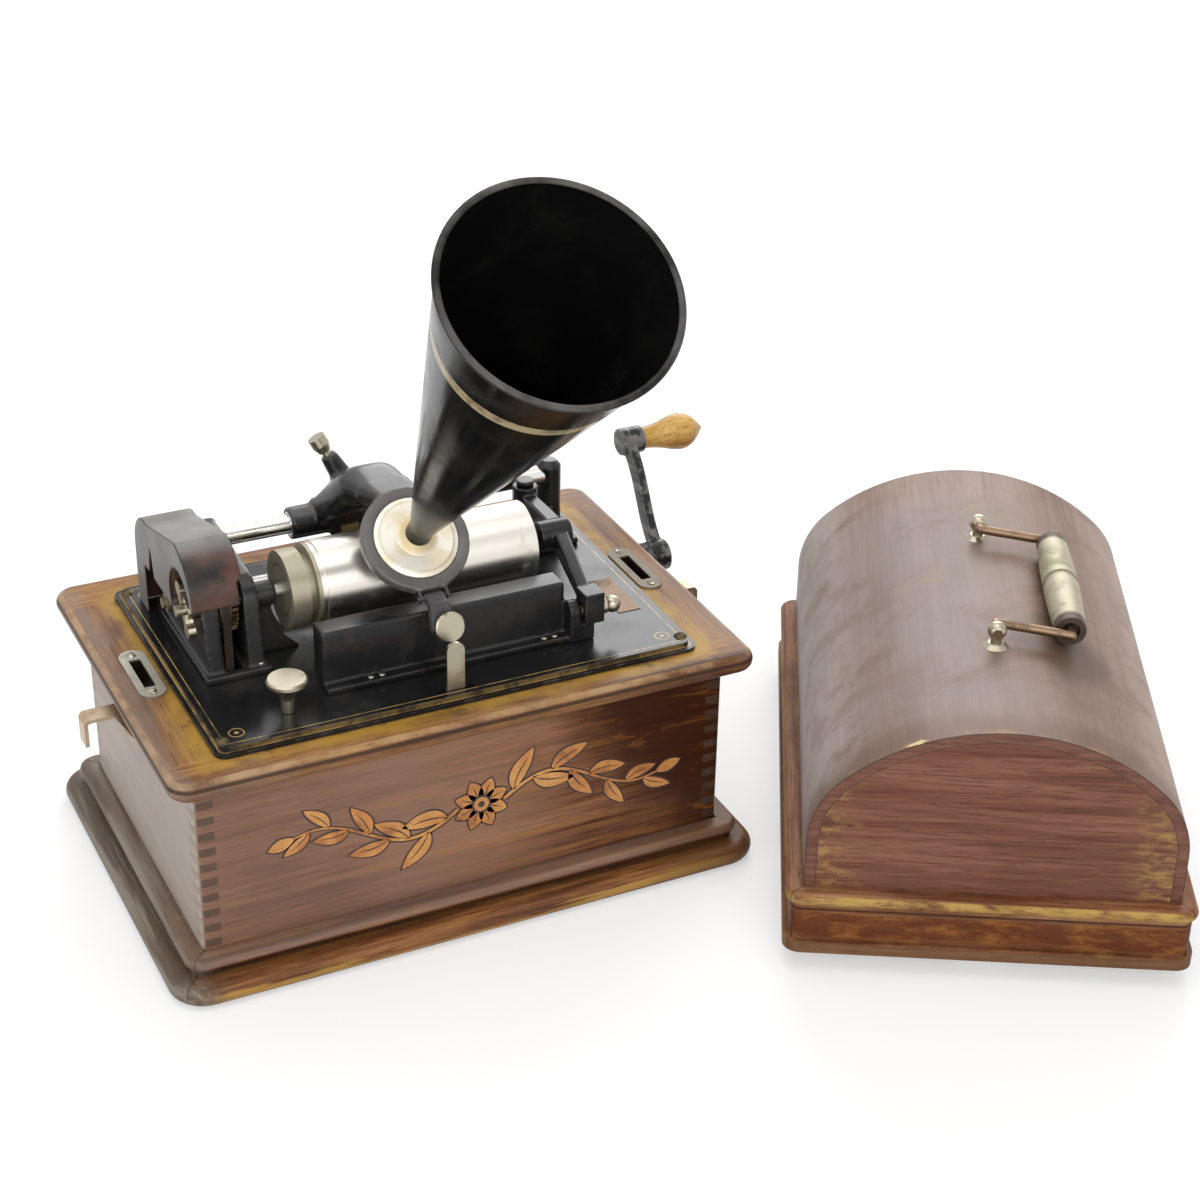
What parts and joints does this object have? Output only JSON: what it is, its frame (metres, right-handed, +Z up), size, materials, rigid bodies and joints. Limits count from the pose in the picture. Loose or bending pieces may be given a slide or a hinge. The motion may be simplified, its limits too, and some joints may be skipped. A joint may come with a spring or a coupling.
{
  "type": "cylinder phonograph",
  "caption": "Spring-wound cylinder player in a wooden cabinet: black cast bedplate, nickel mandrel, sliding carriage, straight cone horn and side crank, with its domed lid standing beside it.",
  "frame": {"origin": "middle of the cabinet's underside, on the surface it stands on", "axes": "+X to the machine's right (crank side), +Y to its back, +Z up"},
  "size_m": [0.6316, 0.4162, 0.4273],
  "materials": {
    "varnished_wood": "varnished, worn",
    "rim_wood": "varnished, worn through to pale wood",
    "lid_wood": "varnished, satin",
    "plain_wood": "bare",
    "black_enamel": "gloss black, worn",
    "horn_black": "gloss black with a gold band",
    "nickel": "nickel plate, aged",
    "steel": "bright steel",
    "blued_steel": "blued",
    "brass": "dull brass",
    "lever_bronze": "dull, tarnished",
    "leather": "dull",
    "grip_wood": "gloss varnish",
    "handle_metal": "worn nickel on brass"
  },
  "bodies": {
    "cabinet": {"base_moulding": "varnished_wood", "bottom_board": "plain_wood", "front_board": "varnished_wood", "back_board": "varnished_wood", "left_board": "varnished_wood", "right_board": "varnished_wood", "rim_front": "rim_wood", "rim_back": "rim_wood", "rim_left": "rim_wood", "rim_right": "rim_wood", "slot_plates": "nickel", "bedplate": "black_enamel", "bed_screws": "steel", "left_standard": "black_enamel", "gear_cover": "black_enamel", "pivot_screws": "nickel", "front_rail": "black_enamel", "back_rod": "steel", "right_post": "black_enamel", "motor_plate_left": "steel", "motor_plate_right": "steel", "frame_pillars": "steel", "drive_belt": "leather"},
    "mandrel_set": {"mandrel_sleeve": "nickel", "mandrel_shaft": "nickel", "mandrel_pulley": "steel"},
    "idler_set": {"idler_gear": "brass"},
    "feed_set": {"feed_screw": "steel"},
    "barrel_set": {"spring_barrel": "brass", "barrel_cover": "brass", "mainspring": "blued_steel"},
    "winding_set": {"winding_arbor": "steel"},
    "second_set": {"second_wheel": "brass"},
    "pulley_set": {"motor_pulley": "brass"},
    "governor_set": {"governor": "brass"},
    "crank_set": {"crank_shaft": "steel", "crank_arm": "black_enamel"},
    "crank_handle": {"crank_grip": "grip_wood"},
    "carriage": {"carriage_bush": "brass"},
    "arm": {"carriage_arm": "black_enamel", "adjusting_screw": "nickel", "half_nut": "brass", "reproducer": "nickel"},
    "horn_set": {"horn": "horn_black", "horn_tube": "horn_black"},
    "lift_set": {"lift_lever": "black_enamel", "lift_knob": "nickel"},
    "gate": {"end_gate": "black_enamel"},
    "bolt": {"latch_bolt": "nickel"},
    "start": {"start_lever": "nickel"},
    "speed": {"speed_screw": "nickel"},
    "lever_left": {"latch_lever_left": "lever_bronze"},
    "lever_right": {"latch_lever_right": "lever_bronze"},
    "lid": {"lid_moulding": "lid_wood", "lid_dome": "lid_wood", "lid_end_panels": "lid_wood", "lid_tongues": "nickel", "handle_posts": "handle_metal"},
    "bail": {"handle_bail": "handle_metal"},
    "bail_grip": {"handle_grip": "handle_metal"}
  },
  "joints": [
    {"name": "mandrel_spin", "type": "hinge", "parent": "cabinet", "child": "mandrel_set", "pos_m": [0, -0.01, 0.1684], "axis": [1, 0, 0], "continuous": true},
    {"name": "idler_spin", "type": "hinge", "parent": "cabinet", "child": "idler_set", "pos_m": [-0.096, 0.01209, 0.15902], "axis": [1, 0, 0], "continuous": true},
    {"name": "feed_spin", "type": "hinge", "parent": "cabinet", "child": "feed_set", "pos_m": [0, 0.03418, 0.14965], "axis": [1, 0, 0], "continuous": true},
    {"name": "pulley_spin", "type": "hinge", "parent": "cabinet", "child": "pulley_set", "pos_m": [-0.06, -0.01, 0.104], "axis": [1, 0, 0], "continuous": true},
    {"name": "second_spin", "type": "hinge", "parent": "cabinet", "child": "second_set", "pos_m": [-0.06, -0.02413, 0.07891], "axis": [1, 0, 0], "continuous": true},
    {"name": "barrel_spin", "type": "hinge", "parent": "cabinet", "child": "barrel_set", "pos_m": [-0.045, 0.022, 0.05963], "axis": [1, 0, 0], "continuous": true},
    {"name": "governor_spin", "type": "hinge", "parent": "cabinet", "child": "governor_set", "pos_m": [-0.045, -0.02739, 0.10866], "axis": [1, 0, 0], "continuous": true},
    {"name": "crank_turn", "type": "hinge", "parent": "cabinet", "child": "crank_set", "pos_m": [0.1, 0.046, 0.108], "axis": [1, 0, 0], "continuous": true},
    {"name": "winding_spin", "type": "hinge", "parent": "cabinet", "child": "winding_set", "pos_m": [-0.03, 0.022, 0.05963], "axis": [1, 0, 0], "continuous": true},
    {"name": "crank_grip_spin", "type": "hinge", "parent": "crank_set", "child": "crank_handle", "pos_m": [0.21, 0.091, 0.16162], "axis": [1, 0, 0], "continuous": true},
    {"name": "carriage_slide", "type": "slide", "parent": "cabinet", "child": "carriage", "axis": [1, 0, 0], "range_m": [-0.038, 0.06]},
    {"name": "arm_lift", "type": "hinge", "parent": "carriage", "child": "arm", "pos_m": [-0.014, 0.045, 0.1755], "axis": [-1, 0, 0], "range_deg": [0, 60]},
    {"name": "horn_pull", "type": "slide", "parent": "arm", "child": "horn_set", "axis": [0, -0.6561, 0.7547], "range_m": [0, 0.05]},
    {"name": "lift_flip", "type": "hinge", "parent": "arm", "child": "lift_set", "pos_m": [-0.0025, -0.05577, 0.17273], "axis": [-1, 0, 0], "range_deg": [0, 40]},
    {"name": "gate_swing", "type": "hinge", "parent": "cabinet", "child": "gate", "pos_m": [0.088, 0.032, 0.168], "axis": [0, 0, 1], "range_deg": [0, 50]},
    {"name": "bolt_pull", "type": "slide", "parent": "gate", "child": "bolt", "axis": [1, 0, 0], "range_m": [0, 0.006], "stiffness_N_per_m": 150, "springref_m": -0.004},
    {"name": "start_turn", "type": "hinge", "parent": "cabinet", "child": "start", "pos_m": [-0.003, -0.085, 0.124], "axis": [0, 1, 0], "range_deg": [-16, 16]},
    {"name": "speed_turn", "type": "hinge", "parent": "cabinet", "child": "speed", "pos_m": [-0.0867, -0.0707, 0.1345], "axis": [0, 0, 1], "range_deg": [-180, 180]},
    {"name": "lever_left_turn", "type": "hinge", "parent": "cabinet", "child": "lever_left", "pos_m": [-0.152, -0.044, 0.116], "axis": [0, 0, 1], "range_deg": [0, 14]},
    {"name": "lever_right_turn", "type": "hinge", "parent": "cabinet", "child": "lever_right", "pos_m": [0.152, -0.044, 0.116], "axis": [0, 0, -1], "range_deg": [0, 14]},
    {"name": "lid_lift", "type": "slide", "parent": "cabinet", "child": "lid", "axis": [0, 0, 1], "range_m": [0, 0.2]},
    {"name": "bail_swing", "type": "hinge", "parent": "lid", "child": "bail", "pos_m": [0.293, -0.1176, 0.151], "axis": [-0.4879, -0.8729, 0], "range_deg": [0, 190]},
    {"name": "bail_grip_spin", "type": "hinge", "parent": "bail", "child": "bail_grip", "pos_m": [0.32757, -0.13692, 0.14536], "axis": [0.4879, 0.8729, 0], "continuous": true}
  ],
  "couplings": [
    {"joint": "idler_spin", "follows": "mandrel_spin", "ratio": -1.4},
    {"joint": "feed_spin", "follows": "mandrel_spin", "ratio": 1},
    {"joint": "pulley_spin", "follows": "mandrel_spin", "ratio": 1},
    {"joint": "second_spin", "follows": "mandrel_spin", "ratio": -0.2},
    {"joint": "barrel_spin", "follows": "mandrel_spin", "ratio": 0.05},
    {"joint": "governor_spin", "follows": "mandrel_spin", "ratio": -4},
    {"joint": "winding_spin", "follows": "crank_turn", "ratio": -0.28571}
  ]
}
